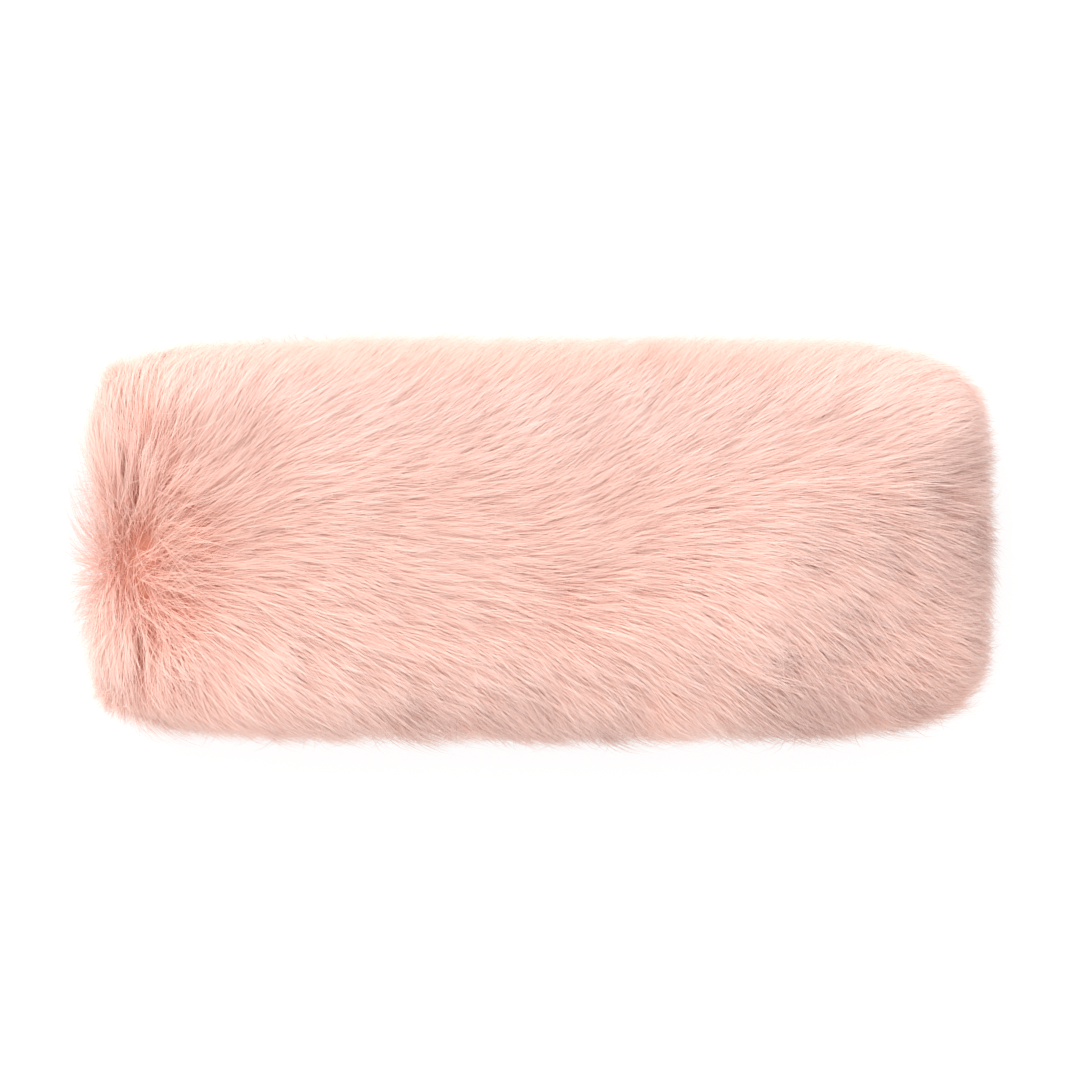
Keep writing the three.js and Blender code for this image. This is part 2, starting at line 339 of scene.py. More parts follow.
def grow(s, w, turn, length, lift=0.0, bend=0.0, sway=0.0):
    """Strands from the roots (s, w), as (count, STEPS + 1, 3) points. turn, lift and bend are in radians."""
    root, out, nap, across = face_at(s, w, np.zeros_like(s))
    free = smooth(*FREE_FACING, out[:, 2])
    opened = smooth(*OPENED_FACING, out[:, 0])
    first, last = (
        np.radians(PRESSED[end] + (LIFT[end] + (OPENED[end] - LIFT[end]) * opened - PRESSED[end]) * free)
        for end in ("root", "tip")
    )
    length = length * (1 + (OPENED["length"] - 1) * opened)
    heading = lie_at(s, w + sway) + turn
    stops = np.concatenate([[0], SHARES])
    points = [root]
    for start, end in zip(stops, stops[1:]):
        middle = (start + end) / 2
        rise = last + (first - last) * (1 - middle) ** BEND_POWER + lift * (1 - 0.5 * middle)
        way = heading + bend * (middle - 0.5)
        forward = np.cos(way)[:, None] * nap + np.sin(way)[:, None] * across
        step_way = np.cos(rise)[:, None] * forward + np.sin(rise)[:, None] * out
        points.append(points[-1] + step_way * (length * (end - start))[:, None])
    points = np.stack(points[1:], axis=1)
    sideways = 1 - np.abs(out[:, 2])
    points[:, :, 2] -= (DROOP * sideways)[:, None] * SHARES**2
    return points


print("a strand in the middle of the upper layer:")
print(np.round(grow(np.array([RUN / 2]), np.zeros(1), np.zeros(1), np.full(1, STRAND_LENGTH))[0] / MM, 1))

# %% [markdown]
# The upper half of the band has been stroked smooth. Towards the lower edge and the right fold the locks
# fall apart more, and where the fur parts over the join they stand up and cross each other.

# %% Where the fur is unruly
PARTING = {
    "behind": 3 * MM,  # how far before the fold's end it runs
    "reach": 6 * MM,
    "from": -44 * MM,
    "to": 30 * MM,
    "fade": 10 * MM,
    "strength": 1.7,
}
UNRULY = {  # the least anywhere, and what is added at the lower edge and at the right fold
    "least": 0.35,
    "low": 0.7,
    "low_from": 18 * MM,
    "low_to": -34 * MM,
    "right": 0.4,
    "right_from": 0.7 * RUN,
}


def parting_at(s, w):
    """How near a root is to the parting over the left fold, from 0 to 1."""
    off = np.mod(s + PARTING["behind"] + LOOP / 2, LOOP) - LOOP / 2
    ends = smooth(PARTING["from"], PARTING["from"] + PARTING["fade"], w)
    ends = ends * smooth(PARTING["to"], PARTING["to"] - PARTING["fade"], w)
    return np.exp(-((off / PARTING["reach"]) ** 2)) * ends


def unruly_at(s, w):
    """What the locks' own turns, lifts and lengths are multiplied by."""
    walked = np.mod(s, LOOP)
    low = smooth(UNRULY["low_from"], UNRULY["low_to"], w)
    right = smooth(UNRULY["right_from"], RUN, walked) * smooth(2 * RUN, RUN, walked)
    tidy_or_not = UNRULY["least"] + UNRULY["low"] * low + UNRULY["right"] * right
    return tidy_or_not + PARTING["strength"] * parting_at(s, w)


print(f"unruly: top {unruly_at(*upper_edge)[0]:.2f}, bottom {unruly_at(*lower_edge)[0]:.2f}")

# %% [markdown]
# Fur falls into locks of many sizes: broad ones as wide as a finger, locks of a few millimetres inside
# them, and fine wisps inside those. Each size is a scatter of guide strands, one to a cell, and every
# strand or smaller guide bends towards the guide nearest to its root, more and more towards its tip.

# %% Locks inside locks
LOCKS = [  # cell: how far apart guides stand. pull: how far they bend to the size above. angles in degrees
    {"cell": 12 * MM, "pull": 0.0, "turn": 4, "length": 0.04, "lift": 2, "sway": 4 * MM},
    {"cell": 3.2 * MM, "pull": 0.22, "turn": 5, "length": 0.09, "lift": 3, "sway": 9 * MM},
    {"cell": 0.8 * MM, "pull": 0.15, "turn": 5.5, "length": 0.09, "lift": 3, "sway": 2 * MM},
]
STRAND_PULL = 0.14
PULL_POWER = 1.5
GATHERED = {"slope": 1.5, "below": 0.4, "least": 0.25, "most": 1.5}
SHADE_SHARE = 0.6  # a lock shows this much of its own shade and this much of its parent's
CELL_MARGIN = 0.08  # how near a guide may come to the side of its cell
FURTHEST = 2.2  # random draws are cut off at so many deviations
MOST_UNRULY = 1.3  # beyond this, lengths differ no more

rng = np.random.default_rng(41)


def cells_of(size):
    """One jittered root in each cell of a grid over the band."""
    count_s, count_w = round(LOOP / size), round(2 * REACH / size)
    at_s, at_w = np.meshgrid(np.arange(count_s), np.arange(count_w), indexing="ij")
    jitter = rng.uniform(CELL_MARGIN, 1 - CELL_MARGIN, (2, count_s, count_w))
    return (at_s + jitter[0]) * LOOP / count_s, (at_w + jitter[1]) * 2 * REACH / count_w - REACH


def nearest(cells, s, w):
    """For each root, the flat number of the nearest cell's root, counting round the loop."""
    guide_s, guide_w = cells
    count_s, count_w = guide_s.shape
    row = np.floor(np.mod(s, LOOP) / LOOP * count_s).astype(int)
    column = np.clip(np.floor((w + REACH) / (2 * REACH) * count_w).astype(int), 0, count_w - 1)
    best, chosen = np.full(len(s), np.inf), np.zeros(len(s), int)
    for step_s in (-1, 0, 1):
        for step_w in (-1, 0, 1):
            near_s, near_w = (row + step_s) % count_s, np.clip(column + step_w, 0, count_w - 1)
            gap = np.abs(guide_s[near_s, near_w] - np.mod(s, LOOP))
            gap = np.minimum(gap, LOOP - gap)
            far = gap**2 + (guide_w[near_s, near_w] - w) ** 2
            closer = far < best
            best, chosen = np.where(closer, far, best), np.where(closer, near_s * count_w + near_w, chosen)
    return chosen


def gathered_at(unruly):
    """What a pull is multiplied by: the less, the smoother the fur."""
    return np.clip(GATHERED["slope"] * unruly - GATHERED["below"], GATHERED["least"], GATHERED["most"])


def gather(points, guides, pull):
    """Strands bent towards their guides."""
    share = pull[:, None, None] * (SHARES**PULL_POWER)[None, :, None]
    return points + (guides - points) * share


levels = []
for row in LOCKS:
    cells = cells_of(row["cell"])
    s, w = (x.ravel() for x in cells)
    unruly = unruly_at(s, w)
    turn = np.radians(row["turn"]) * unruly * rng.standard_normal(len(s)).clip(-FURTHEST, FURTHEST)
    longer = np.minimum(unruly, MOST_UNRULY) * rng.standard_normal(len(s)).clip(-FURTHEST, FURTHEST)
    length = STRAND_LENGTH * (1 + row["length"] * longer)
    lift = np.radians(row["lift"]) * unruly * rng.standard_normal(len(s))
    sway = row["sway"] * swayed_at(s) * rng.standard_normal(len(s))
    shade = rng.standard_normal(len(s))
    if levels:
        above = levels[-1]
        guide = nearest(above["cells"], s, w)
        turn = turn + above["turn"][guide]
        length = length * above["length"][guide] / STRAND_LENGTH
        lift = lift + above["lift"][guide]
        sway = sway + above["sway"][guide]
        shade = SHADE_SHARE * (shade + above["shade"][guide])
    points = grow(s, w, turn, length, lift, sway=sway)
    if levels:
        points = gather(points, above["points"][guide], row["pull"] * gathered_at(unruly))
    own = {"turn": turn, "length": length, "lift": lift, "sway": sway, "shade": shade}
    levels.append({"cells": cells, "points": points, **own})
    print(f"{row['cell'] / MM:.1f} mm locks: {len(s)}")

# %% [markdown]
# The pile is shorn to one height, so the band's rim is full and even, with rounded corners. Strands that
# would reach past it are crowded back instead, the further the more, and only their last ends fray out.
# Pressing every strand flat would make a ledge there. So near the rim strands are also drawn towards half
# the fur's height, which rounds the side as the real one is.

# %% The rim
RIM = {  # half sizes seen from above, and how square the corners are: 2 would be an ellipse
    "left": 136.5 * MM,
    "right": 133 * MM,
    "upper": 60.0 * MM,
    "lower": 58.8 * MM,
    "left_power": 4.1,
    "right_power": 4.9,
    "crowds_from": 7 * MM,  # how far inside the rim crowding begins
    "frays": 2.2 * MM,  # how far past the rim an end can reach
    "by_lock": 0.7,  # how much more some locks, and some strands, fray out than others
    "by_strand": 0.8,
}
CROWN = {"crowds_from": 43 * MM, "room": 12 * MM}  # the same for the height above the table
EDGE = {  # the rounded side
    "height": 22 * MM,  # where strands settle at the rim
    "spread": 4 * MM,
    "from_rim": 22 * MM,
    "above": 0.08,  # the share of its height over that place that a strand keeps right at the rim
    "more_left": 0.2,
    "left_from": -90 * MM,
    "left_to": -125 * MM,
    "below": 0.6,  # and the share of its depth under it
}


def past_rim(flat):
    """How far points lie past the line where crowding begins, and the way straight out from the rim."""
    on_left = flat[..., :1] < 0
    halves = np.where(flat < 0, [RIM["left"], RIM["lower"]], [RIM["right"], RIM["upper"]])
    share = np.abs(flat) / halves
    power = np.where(on_left, RIM["left_power"], RIM["right_power"])
    level = np.maximum((share**power).sum(-1, keepdims=True) ** (1 / power), 1e-6)
    slope = np.sign(flat) * (share / level) ** (power - 1) / halves
    steepness = np.linalg.norm(slope, axis=-1)
    return (level[..., 0] - 1) / steepness + RIM["crowds_from"], slope / steepness[..., None]


def kept_in(points, frays, settles):
    """Points crowded back towards the rim, and near it drawn to the height where each strand settles."""
    past, outwards = past_rim(points[..., :2])
    room = RIM["crowds_from"] + frays
    back = np.where(past > 0, past - room * (1 - np.exp(-np.maximum(past, 0) / room)), 0)
    flat = points[..., :2] - outwards * back[..., None]
    still_past, outwards = past_rim(flat)  # from far past a corner the first way back leads astray
    flat -= outwards * np.maximum(still_past - room, 0)[..., None]
    over = np.maximum(points[..., 2] - CROWN["crowds_from"], 0)
    height = points[..., 2] - over + CROWN["room"] * (1 - np.exp(-over / CROWN["room"])) - settles
    inside = np.clip((RIM["crowds_from"] - past + back) / EDGE["from_rim"], 0, 1)
    above = EDGE["above"] + EDGE["more_left"] * smooth(EDGE["left_from"], EDGE["left_to"], points[..., 0])
    least = np.where(height > 0, above, EDGE["below"])
    height *= least + (1 - least) * np.sqrt(1 - (1 - inside) ** 2)
    return np.concatenate([flat, (height + settles)[..., None]], axis=-1)


print(f"the rim is {(RIM['left'] + RIM['right']) / MM:.0f} by {(RIM['upper'] + RIM['lower']) / MM:.0f} mm")

# %% [markdown]
# Over the join the fur opens here and there down to its roots. Each opening is a slit seen from above: of
# the strands that would lie across it, only a few are left.

# %% Openings in the parting
OPENINGS = [  # seen from above: the middle and the half sizes in millimetres, and the turn in degrees
    {"x": -118.4, "y": 21.0, "long": 3.2, "wide": 0.8, "turn": 80},
    {"x": -115.2, "y": 14.5, "long": 1.8, "wide": 1.1, "turn": 130},
    {"x": -112.5, "y": -1.0, "long": 2.0, "wide": 0.9, "turn": 110},
    {"x": -111.0, "y": -7.5, "long": 1.7, "wide": 0.9, "turn": 80},
    {"x": -112.6, "y": -15.0, "long": 3.4, "wide": 0.6, "turn": 85},
    {"x": -113.6, "y": -30.6, "long": 2.6, "wide": 1.5, "turn": 100},
    {"x": -110.3, "y": -25.6, "long": 1.8, "wide": 0.9, "turn": 60},
]
LEFT_ACROSS = 0.18  # the share of strands that still cross
WALK = np.linspace(0, 1, 5)  # where each step of a strand is looked at


def across_opening(points):
    """Which strands lie across an opening."""
    steps = points[:, :-1, None, :2] + (points[:, 1:] - points[:, :-1])[:, :, None, :2] * WALK[:, None]
    steps = steps.reshape(len(points), -1, 2)
    found = np.zeros(len(points), bool)
    for row in OPENINGS:
        turn = math.radians(row["turn"])
        axes = np.array([[math.cos(turn), math.sin(turn)], [-math.sin(turn), math.cos(turn)]])
        middle, half = np.array([row["x"], row["y"]]) * MM, np.array([row["long"], row["wide"]]) * MM
        inside = (steps - middle) @ axes.T / half
        found |= (np.linalg.norm(inside, axis=-1) < 1).any(axis=1)
    return found


print(len(OPENINGS), "openings")

# %% [markdown]
# The strands themselves stand much closer than the guides. Most follow their lock. Some are short
# under-hairs, and a few long ones have strayed and cross their neighbours. The underside carries fewer,
# because nothing sees more than its rim.

# %% Strands
STRANDS = 175_000
UNDER_DENSITY = 0.22
UNDER_FACING = (-0.9, -0.3)  # how far up the cloth faces where strands are sparse, and where they aren't
LEFT_FOLD_DENSER = 0.6
LEFT_FOLD_FACING = (0.1, 0.7)
ROOT_KNOTS = 2001
ROOT_JITTER = 0.3 * MM
EVEN_STEPS = (0.7548776662, 0.5698402910)  # steps that scatter points evenly over a square
STRAND_NOISE = {"turn": 14, "least_unruly": 0.8, "length": 0.09, "longest": 2, "lift": 4, "bend": 9}
UNDER_HAIR = {"share": 0.2, "length": 0.55, "varies": 0.3, "pull": 0.3}
PULL_SPREAD = (0.75, 1.2)
STRAY = {"share": 0.035, "at_parting": 0.12, "turn": 26, "lift": 9, "pull": 0.05, "frays": 2}
MOST_FRAYED = 3


def spread_roots(count):
    """Evenly scattered roots (s, w), sparser under the band."""
    number = np.arange(count)
    first, second = (np.mod(0.5 + step * number, 1) for step in EVEN_STEPS)
    knots = np.linspace(0, LOOP, ROOT_KNOTS)
    _, _, out_x, out_z = loop_at((knots[1:] + knots[:-1]) / 2)
    density = UNDER_DENSITY + (1 - UNDER_DENSITY) * smooth(*UNDER_FACING, out_z)
    density *= 1 + LEFT_FOLD_DENSER * smooth(*LEFT_FOLD_FACING, -out_x)
    total = np.concatenate([[0], np.cumsum(density)])
    s = np.interp(first * total[-1], total, knots)
    jitter = ROOT_JITTER * rng.standard_normal((2, count))
    return np.mod(s + jitter[0], LOOP), np.clip((2 * second - 1) * REACH + jitter[1], -REACH, REACH)


root_s, root_w = spread_roots(STRANDS)
parent = levels[-1]
guide = nearest(parent["cells"], root_s, root_w)
kind = rng.random(STRANDS)
short = kind < UNDER_HAIR["share"]
stray = kind > 1 - STRAY["share"] - STRAY["at_parting"] * parting_at(root_s, root_w)

unruly = unruly_at(root_s, root_w)
turn = np.maximum(unruly, STRAND_NOISE["least_unruly"]) * rng.standard_normal(STRANDS)
turn = parent["turn"][guide] + np.radians(STRAND_NOISE["turn"]) * turn
turn += np.where(stray, np.radians(STRAY["turn"]) * rng.standard_normal(STRANDS), 0)
length = rng.standard_normal(STRANDS).clip(-STRAND_NOISE["longest"], STRAND_NOISE["longest"])
length = parent["length"][guide] * (1 + STRAND_NOISE["length"] * length)
varied = rng.uniform(1 - UNDER_HAIR["varies"], 1 + UNDER_HAIR["varies"], STRANDS)
length *= np.where(short, UNDER_HAIR["length"] * varied, 1)
lift = parent["lift"][guide] + np.radians(STRAND_NOISE["lift"]) * unruly * rng.standard_normal(STRANDS)
lift += np.where(stray, np.radians(STRAY["lift"]) * rng.random(STRANDS), 0)
bend = np.radians(STRAND_NOISE["bend"]) * rng.standard_normal(STRANDS)

pull = STRAND_PULL * gathered_at(unruly) * rng.uniform(*PULL_SPREAD, STRANDS)
pull = np.where(short, UNDER_HAIR["pull"], np.where(stray, STRAY["pull"], pull))
grown = grow(root_s, root_w, turn, length, lift, bend, parent["sway"][guide])
strands = gather(grown, parent["points"][guide], pull)
lock = nearest(levels[1]["cells"], root_s, root_w)
frays = 1 + RIM["by_lock"] * levels[1]["shade"][lock] + RIM["by_strand"] * rng.standard_normal(STRANDS)
frays = RIM["frays"] * np.where(stray, STRAY["frays"], frays).clip(0, MOST_FRAYED)
settles = EDGE["height"] + EDGE["spread"] * rng.uniform(-1, 1, STRANDS)
strands = kept_in(strands, frays[:, None], settles[:, None])
strands[:, :, 2] = np.maximum(strands[:, :, 2], TABLE_GAP * rng.uniform(1, 5, STRANDS)[:, None])
kept = ~across_opening(strands) | (rng.random(STRANDS) < LEFT_ACROSS)
root_s, root_w, lock, guide, strands = (each[kept] for each in (root_s, root_w, lock, guide, strands))
standing = len(strands)
print(standing, "strands stand")
lowest, highest = strands.reshape(-1, 3).min(0), strands.reshape(-1, 3).max(0)
print("strands reach from", np.round(lowest / MM, 1), "to", np.round(highest / MM, 1))

# %% [markdown]
# Every fibre has its own tint. The ends are a pale blush, the roots a deep salmon, which is partly painted
# shade for the shade down between the strands. Here and there, most of all towards the right fold and along
# the lower edge, the fur has a dusty brown cast: partly dust, and partly painted shade where the band turns
# away from the light and in the gaps between locks. Along the upper and the left rim the pale of the ends
# reaches further down the strands as painted light, and along the upper rim and over the parting the tint is
# darker as painted shade, and a little darker over the middle. Both tints travel to the material in the
# strands' texture map: across the map, six columns from clean to dusty with light and dark fibres inside
# each, and along it from root to tip.

# %% Tints
DUST_AND_SHADE_COLUMNS = 6
DUST_AND_SHADE_PATCHES = [  # places seen from above: middle and half sizes in millimetres, and how much dust and painted shade the fur has there
    {"x": 134, "y": 10, "half": (30, 36), "much": 0.8},
    {"x": 138, "y": -12, "half": (16, 60), "much": 0.4},
    {"x": 112, "y": -10, "half": (40, 34), "much": 0.4},
    {"x": 107, "y": -14, "half": (16, 22), "much": 0.3},
    {"x": 97, "y": -46, "half": (52, 28), "much": 0.4},
    {"x": 22, "y": -60, "half": (112, 32), "much": 0.42},
    {"x": 37, "y": 57, "half": (4, 6), "much": 0.8},
    {"x": 131, "y": -10, "half": (9, 5), "much": 0.9},
    {"x": -92, "y": -2, "half": (8, 3), "much": 0.6},
]
DEEPER_AND_PAINTED_SHADE = [  # and where its tint is darker: painted shade along the upper rim and over the parting, a little darker over the middle
    {"x": 0, "y": 66, "half": (180, 24), "much": 0.95},
    {"x": -122, "y": 52, "half": (36, 26), "much": 0.6},
    {"x": -105, "y": 0, "half": (23, 52), "much": 0.62},
    {"x": -84, "y": 6, "half": (34, 60), "much": 0.44},
    {"x": -10, "y": -6, "half": (110, 44), "much": 0.32},
]
DEEPER_AND_SHADE_BY = 0.40
DUST_AND_SHADE_NOISE = {"lock": 0.6, "wisp": 0.5, "strand": 0.4}
TINT = {"middle": 0.45, "wisp": 0.05, "strand": 0.09, "least": 0.05, "most": 0.9}
# Painted light: the pale of the ends reaches further down the strands along the upper rim, where the light
# falls most, and along the left rim.
PAINTED_LIGHT_PALE = {
    "upper": {"much": 0.65, "from": 6 * MM, "to": 50 * MM},
    "left": {"much": 0.7, "from": -123 * MM, "to": -135 * MM},
}
DUST_AND_SHADE_BELOW = 0.3  # how much of the dust and painted shade is left on the underside
DUST_AND_SHADE_FACING = (-0.3, 0.5)
COLUMN_MIX = 0.45  # how far a strand may be from its own column


def patches_at(places, x, y):
    """How much of a look the listed places give a point, from 0 to 1."""
    without = np.ones_like(x)
    for row in places:
        off = np.hypot((x - row["x"] * MM) / row["half"][0], (y - row["y"] * MM) / row["half"][1]) / MM
        without *= 1 - row["much"] * smooth(1, 0.3, off)
    return 1 - without


def painted_light_pale_at(x, y):
    """How far down a strand the pale colour of its end goes, as painted light: furthest at the upper and the
    left rim.
    """
    upper, left = PAINTED_LIGHT_PALE["upper"], PAINTED_LIGHT_PALE["left"]
    by_height = upper["much"] * smooth(upper["from"], upper["to"], y)
    return np.maximum(by_height, left["much"] * smooth(left["from"], left["to"], x))


seen_x, seen_y = strands[:, -1, 0], strands[:, -1, 1]
facing_up = smooth(*DUST_AND_SHADE_FACING, face_at(root_s, root_w, np.zeros(standing))[1][:, 2])
# Partly dust, partly painted shade: browner where the band turns away from the light and between locks.
dust_and_shade = patches_at(DUST_AND_SHADE_PATCHES, seen_x, seen_y) * (DUST_AND_SHADE_BELOW + (1 - DUST_AND_SHADE_BELOW) * facing_up)
own = DUST_AND_SHADE_NOISE["strand"] * rng.standard_normal(standing)
dust_and_shade *= 1 + DUST_AND_SHADE_NOISE["lock"] * levels[1]["shade"][lock] + DUST_AND_SHADE_NOISE["wisp"] * parent["shade"][guide] + own
column = dust_and_shade * (DUST_AND_SHADE_COLUMNS - 1) + rng.uniform(-COLUMN_MIX, COLUMN_MIX, standing)
column = np.round(column).clip(0, DUST_AND_SHADE_COLUMNS - 1)
own = TINT["strand"] * rng.standard_normal(standing)
tint = TINT["middle"] + TINT["wisp"] * parent["shade"][guide] + own
# Darker tint as painted shade along the upper rim, against the light there, and over the parting; a little
# darker over the middle.
tint = np.clip(tint - DEEPER_AND_SHADE_BY * patches_at(DEEPER_AND_PAINTED_SHADE, seen_x, seen_y), TINT["least"], TINT["most"])
painted_light_pale = painted_light_pale_at(seen_x, seen_y)
print("strands in each column:", np.bincount(column.astype(int)))

# %% [markdown]
# A strand becomes a ribbon three steps long that narrows to a point. Its faces are rolled at random, as
# fibres are, but its normals all lean outwards from the cloth, so that the light glides over the fur as it
# does over a real one, whose fibres are round.

# %% Ribbons
RIBBON = {"width": 0.19 * MM, "power": 0.6, "roll": 40, "jitter": 8}  # roll and jitter in degrees
MOST_IN_A_PIECE = 39_000  # strands, so that no piece is too heavy
# how far down a strand the painted light of the pale ends may reach
PAINTED_LIGHT_DEEPEST = 0.55
LEAN_UP = 0.5  # how much the normals lean upwards
MAP_HALF = 0.03  # half a ribbon's width in the texture map, in columns
MAP_MARGIN = 0.01
SPLIT_AT = 0.6 * TURN  # each piece is a stretch of the loop, and the first begins this far before s = 0


def unit(vectors):
    return vectors / np.maximum(np.linalg.norm(vectors, axis=-1, keepdims=True), 1e-12)


def ribbons(name, points, outward, column, tint, painted_light_pale):
    """One mesh of ribbons along strands, with normals near outward and the tints in its texture map."""
    count = len(points)
    along = unit(np.gradient(points, axis=1))
    facing = unit(outward[:, None] - (outward[:, None] * along).sum(-1, keepdims=True) * along)
    beside = np.cross(along, facing)
    roll = np.radians(RIBBON["roll"]) * rng.uniform(-1, 1, count)
    width_way = beside * np.cos(roll)[:, None, None] + facing * np.sin(roll)[:, None, None]
    half = RIBBON["width"] / 2 * (1 - SHARES[:-1]) ** RIBBON["power"]
    shift = width_way[:, :-1] * half[None, :, None]
    body = np.stack([points[:, :-1] - shift, points[:, :-1] + shift], axis=2).reshape(count, 2 * STEPS, 3)
    vertices = np.concatenate([body, points[:, -1:]], axis=1)
    jitter = np.radians(RIBBON["jitter"]) * rng.standard_normal(count)
    lit = facing * np.cos(jitter)[:, None, None] + beside * np.sin(jitter)[:, None, None]
    normals = np.concatenate([np.repeat(lit[:, :-1], 2, axis=1), lit[:, -1:]], axis=1)

    quads = [2 * step + corner for step in range(STEPS - 1) for corner in (0, 1, 3, 2)]
    pattern = np.array(quads + [2 * STEPS - 2, 2 * STEPS - 1, 2 * STEPS])
    starts = np.array([4 * step for step in range(STEPS - 1)] + [4 * (STEPS - 1)])
    per_strand = 2 * STEPS + 1
    corners = (np.arange(count)[:, None] * per_strand + pattern).ravel()
    first = (np.arange(count)[:, None] * len(pattern) + starts).ravel()

    mesh = bpy.data.meshes.new(name)
    mesh.vertices.add(vertices.shape[0] * per_strand)
    mesh.vertices.foreach_set("co", vertices.astype(np.float32).ravel())
    mesh.loops.add(len(corners))
    mesh.loops.foreach_set("vertex_index", corners.astype(np.int32))
    mesh.polygons.add(len(first))
    mesh.polygons.foreach_set("loop_start", first.astype(np.int32))
    mesh.update(calc_edges=True)

    map_u = np.array([-MAP_HALF, MAP_HALF] * STEPS + [0.0])[None] + tint[:, None]
    from_end = 1 - np.append(np.repeat(SHARES[:-1], 2), 1.0)
    map_v = 1 - from_end * (1 - PAINTED_LIGHT_DEEPEST * painted_light_pale[:, None])
    map_v = MAP_MARGIN + map_v * (1 - 2 * MAP_MARGIN)
    places = np.stack([(column[:, None] + map_u) / DUST_AND_SHADE_COLUMNS, map_v], axis=-1)
    mesh.uv_layers.new(name="OFBake").data.foreach_set(
        "uv", places.reshape(-1, 2)[corners].astype(np.float32).ravel()
    )
    mesh.shade_smooth()
    mesh.normals_split_custom_set_from_vertices(unit(normals).reshape(-1, 3))
    made = bpy.data.objects.new(name, mesh)
    bpy.context.scene.collection.objects.link(made)
    return made


_, outward, _, _ = face_at(root_s, root_w, np.zeros(standing))
outward = unit(outward + np.array([0, 0, LEAN_UP]))
order = np.argsort(np.mod(root_s + SPLIT_AT, LOOP), kind="stable")
pieces = []
for number, chosen in enumerate(np.array_split(order, math.ceil(standing / MOST_IN_A_PIECE)), 1):
    name = f"pile_{number}"
    piece = ribbons(name, *(each[chosen] for each in (strands, outward, column, tint, painted_light_pale)))
    pieces.append(piece)
    print(name, len(chosen), "strands,", len(chosen) * (2 * STEPS - 1), "triangles")

# %% [markdown]
# Down between the strands stands the undercoat, short dense fibres that the eye reads as one soft surface.
# It is a sheet over the backing, a third of the pile's height up, that goes round the loop and rolls over
# both edges. Its dark salmon, darker than the fibres themselves, is painted shade for the shade down there.

# %% Undercoat
UNDERCOAT = {
    "height": 7.5 * MM,
    "pressed": 5 * MM,  # its height under the band
    "facing": (-0.4, 0.6),  # how far up the cloth faces where it is pressed, and where it is free
    "edge": 4.5 * MM,  # its height along both edges
    "thins_over": 8 * MM,
    "parted": 0.5,  # the share of it that is missing at the parting
    "least": 1 * MM,
    "around": 196,
    "across": 48,
}

around = np.arange(UNDERCOAT["around"]) * LOOP / UNDERCOAT["around"]
across = np.linspace(-1, 1, UNDERCOAT["across"] + 1) * REACH
coat_s, coat_w = (x.ravel() for x in np.meshgrid(around, across, indexing="ij"))
_, coat_out, _, _ = face_at(coat_s, coat_w, np.zeros_like(coat_s))
freely = smooth(*UNDERCOAT["facing"], coat_out[:, 2])
coat_height = UNDERCOAT["pressed"] + (UNDERCOAT["height"] - UNDERCOAT["pressed"]) * freely
near_edge = smooth(FLAT_HALF - UNDERCOAT["thins_over"], REACH, np.abs(coat_w))
coat_height -= (UNDERCOAT["height"] - UNDERCOAT["edge"]) * near_edge
coat_height *= 1 - UNDERCOAT["parted"] * parting_at(coat_s, coat_w)
coat_points, _, _, _ = face_at(coat_s, coat_w, np.maximum(coat_height, UNDERCOAT["least"]))
coat_points[:, 2] = np.maximum(coat_points[:, 2], TABLE_GAP)
rows = UNDERCOAT["across"] + 1
corner = (np.arange(UNDERCOAT["around"])[:, None] * rows + np.arange(UNDERCOAT["across"])).ravel()
ahead = (corner + rows) % len(coat_points)
coat_mesh = bpy.data.meshes.new("undercoat")
coat_faces = np.stack([corner, ahead, ahead + 1, corner + 1], axis=1)
coat_mesh.from_pydata(coat_points.tolist(), [], coat_faces.tolist())
coat_mesh.shade_smooth()
undercoat = bpy.data.objects.new("undercoat", coat_mesh)
bpy.context.scene.collection.objects.link(undercoat)
print("undercoat:", len(coat_mesh.polygons), "faces")

# %% [markdown]
# Acrylic fibre is a little see-through, so light also passes on to the fibres below and the fur glows
# softly. The pile's finish mixes a matt surface with some of that. The colour runs from root to tip, its
# deep roots partly painted shade, is lighter or darker by the fibre's own tint, and turns dusty by its
# column of the map, which is partly dust and partly painted shade.

# %% The pile's finish
PILE = {  # colours at places from root to tip
    # The deep salmon at the roots is partly the fibre's own colour and partly painted shade, for the shade
    # down between the strands.
    "clean": [
        (0.25, (0.87, 0.55, 0.46)),
        (0.50, (0.925, 0.67, 0.58)),
        (0.72, (0.945, 0.77, 0.695)),
        (0.88, (0.95, 0.83, 0.775)),
        (1.00, (0.955, 0.87, 0.835)),
    ],
    # Dust and painted shade: the dark roots stand in for the shade in the gaps between locks.
    "dusty_and_shaded": [
        (0.25, (0.30, 0.18, 0.15)),
        (0.60, (0.48, 0.32, 0.28)),
        (0.82, (0.79, 0.64, 0.585)),
        (1.00, (0.94, 0.83, 0.79)),
    ],
    "through": (0.965, 0.65, 0.578, 1.0),
    "glow": 0.36,  # the share of light that passes on
    "by_tint": [(0.86, 1.10), (0.78, 1.18), (0.74, 1.22)],  # red, green and blue of a dark and a light fibre
}
# Painted shade: the undercoat's dark salmon stands in for the shade down between the strands.
UNDERCOAT_SHADE_COLOURS = [(0.46, 0.17, 0.115), (0.68, 0.32, 0.23)]
pile = Finish("faux_fur")
place = pile.node("ShaderNodeUVMap", {"uv_map": "OFBake"})[0]
across_map, along_map, _ = pile.node("ShaderNodeSeparateXYZ", {}, {0: place})
across_map = across_map * DUST_AND_SHADE_COLUMNS
which = pile.node("ShaderNodeMath", {"operation": "FLOOR"}, {0: across_map})[0]
own_tint = across_map - which
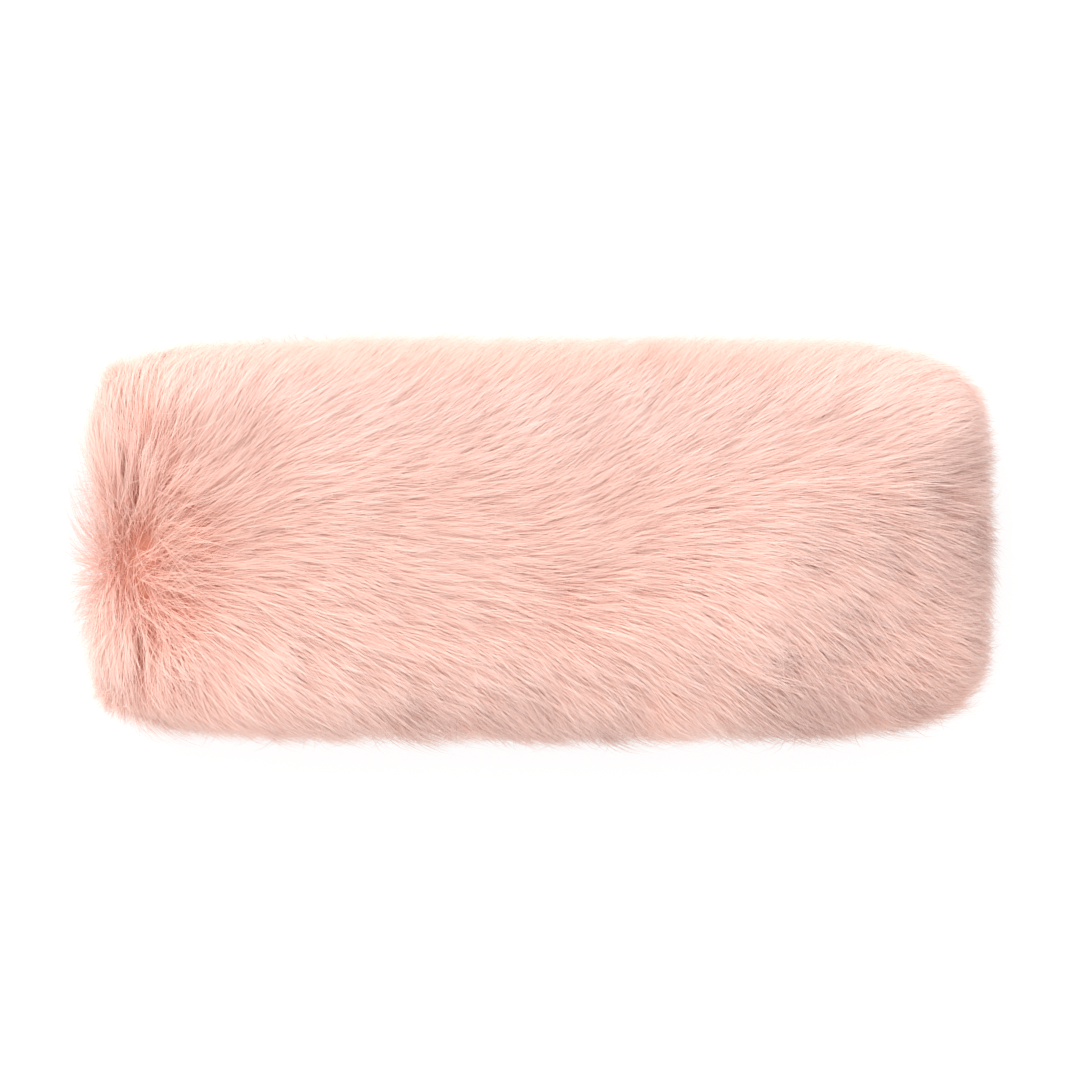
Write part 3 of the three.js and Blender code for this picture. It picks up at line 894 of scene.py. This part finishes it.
# How far a strand turns to the dusty ramp, which is partly dust and partly painted shade.
dust_and_shade_share = which * (1 / (DUST_AND_SHADE_COLUMNS - 1))
clean = pile.node("ShaderNodeValToRGB", {"stops": PILE["clean"]}, {0: along_map})[0]
dusty_and_shaded = pile.node("ShaderNodeValToRGB", {"stops": PILE["dusty_and_shaded"]}, {0: along_map})[0]
colour = pile.mix(dust_and_shade_share, clean, dusty_and_shaded)
own_colour = {channel: low + own_tint * (high - low) for channel, (low, high) in enumerate(PILE["by_tint"])}
colour = pile.mix(1.0, colour, pile.node("ShaderNodeCombineXYZ", {}, own_colour)[0], "MULTIPLY")
surface = pile.node(
    "ShaderNodeBsdfPrincipled", {}, {"Base Color": colour, "Roughness": 0.6, "Specular IOR Level": 0.12}
)[0]
through = pile.node("ShaderNodeBsdfTranslucent", {}, {"Color": PILE["through"]})[0]
pile_finish = pile.show(pile.node("ShaderNodeMixShader", {}, {0: PILE["glow"], 1: surface, 2: through})[0])

coat = Finish("undercoat_fur")
coat_place = coat.node("ShaderNodeTexCoord")[3]
tufts = coat.node("ShaderNodeTexNoise", {}, {"Vector": coat_place, "Scale": 420.0, "Detail": 4.0})[0]
coat_bump = coat.node("ShaderNodeBump", {}, {"Strength": 0.6, "Distance": 0.001, "Height": tufts})[0]
coat_finish = coat.show(
    coat.node(
        "ShaderNodeBsdfPrincipled",
        {},
        {
            "Base Color": coat.mix(tufts, UNDERCOAT_SHADE_COLOURS[0], UNDERCOAT_SHADE_COLOURS[1]),
            "Roughness": 0.9,
            "Specular IOR Level": 0.1,
            "Normal": coat_bump,
        },
    )[0]
)

for piece, finish in [(piece, pile_finish) for piece in pieces] + [(undercoat, coat_finish)]:
    piece.data.materials.append(finish)
    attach(piece, "root")
    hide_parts("fur_pile")
print(len(pieces), "pieces of fur over the undercoat")

# %% [markdown]
# The backing is a fine knit in the fur's own colour. Only its inside shows, at the band's open edges, and a
# little of its face where the fur parts. Fine ribs run along the loop.

# %% The backing's finish
KNIT = {"light": (0.80, 0.50, 0.42), "dark": (0.62, 0.33, 0.27), "rib": 1.2 * MM}
knit = Finish("backing_knit")
where = knit.node("ShaderNodeTexCoord")[3]
_, across_band, _ = knit.node("ShaderNodeSeparateXYZ", {}, {0: where})
wave = knit.node("ShaderNodeMath", {"operation": "SINE"}, {0: across_band * (2 * math.pi / KNIT["rib"])})[0]
grain = knit.node("ShaderNodeTexNoise", {}, {"Vector": where, "Scale": 900.0, "Detail": 3.0})[0]
ribs = wave * 0.25 + grain * 0.6 + 0.2
colour = knit.mix(ribs, KNIT["dark"], KNIT["light"])
bump = knit.node("ShaderNodeBump", {}, {"Strength": 0.4, "Distance": 0.0004, "Height": ribs})[0]
knit_finish = knit.show(
    knit.node(
        "ShaderNodeBsdfPrincipled",
        {},
        {"Base Color": colour, "Roughness": 0.9, "Specular IOR Level": 0.1, "Normal": bump},
    )[0]
)
for name in ("backing_band", "join_seam"):
    cloth = bpy.data.objects[name]
    cloth.data.materials.clear()
    cloth.data.materials.append(knit_finish)
print("knit on the backing and its join")

# %% [markdown]
# The band is one strip of cloth, cut flat before it was sewn: as long as the loop with its seam allowances,
# and as wide as the band with both hems laid open. The fur and the join go with it.

# %% The strip that the band was cut from
cloth = bpy.data.objects["backing_band"]
